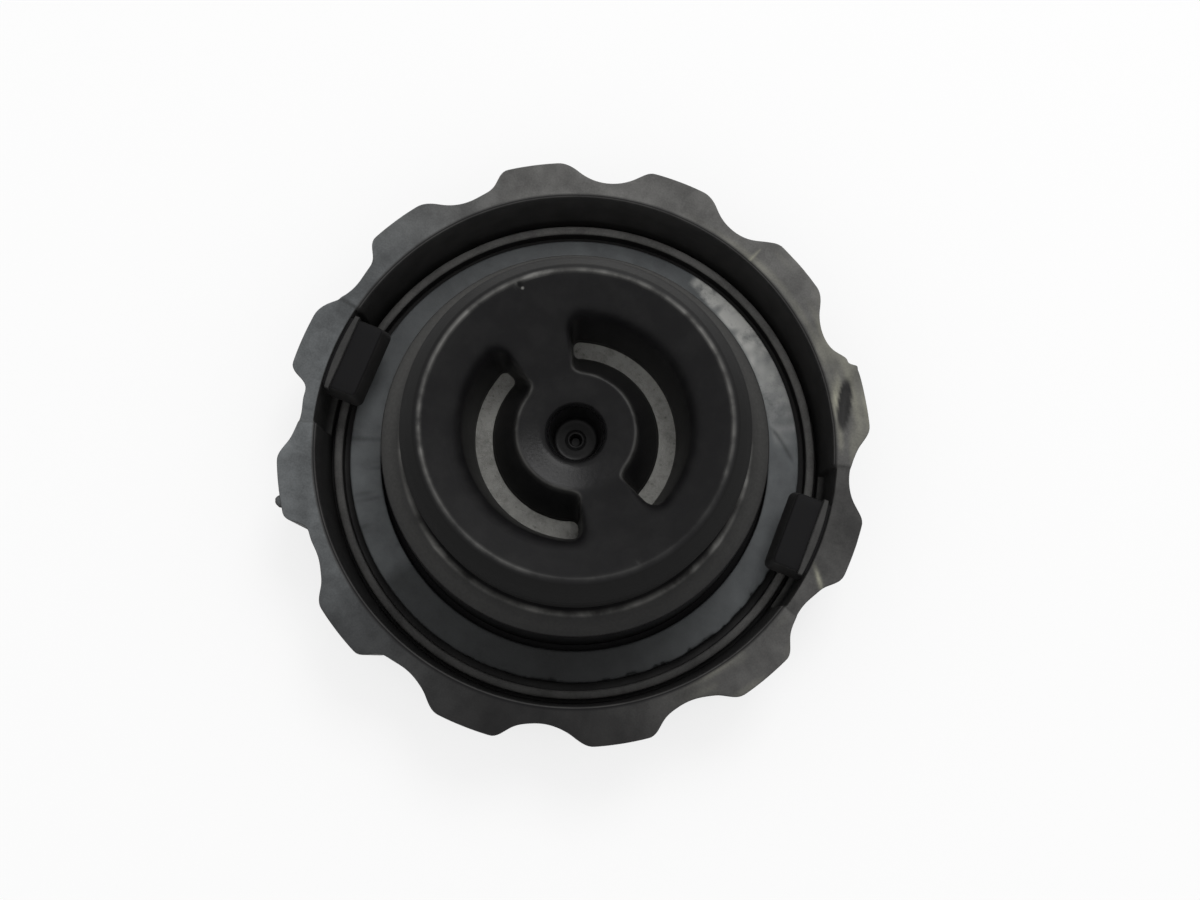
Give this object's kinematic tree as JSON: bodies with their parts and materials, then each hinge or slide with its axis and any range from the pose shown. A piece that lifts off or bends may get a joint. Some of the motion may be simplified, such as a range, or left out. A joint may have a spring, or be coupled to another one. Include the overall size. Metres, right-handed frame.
{
  "type": "power steering reservoir cap",
  "caption": "Round lobed screw cap for a fluid reservoir, lying on its crown: stepped vented plug, sealing ring and bayonet lugs inside the skirt.",
  "frame": {"origin": "centre of the crown's outer face, on which the cap lies upside down", "axes": "+Z along the cap's axis, out of its mouth towards the plug's tip; +X through the middle of the bayonet lug with the shorter lowered rim"},
  "size_m": [0.06, 0.06, 0.022],
  "materials": {
    "cap_plastic": "worn black moulded plastic with pale scuffs on the rim",
    "plug_plastic": "black moulded plastic, satin",
    "seal_rubber": "dull black rubber with grey dust",
    "filter_media": "light grey mottled filter material"
  },
  "bodies": {
    "root": {"cap_shell": "cap_plastic", "plug_cup": "plug_plastic", "seal_ring": "seal_rubber", "vent_filter": "filter_media"}
  },
  "joints": []
}
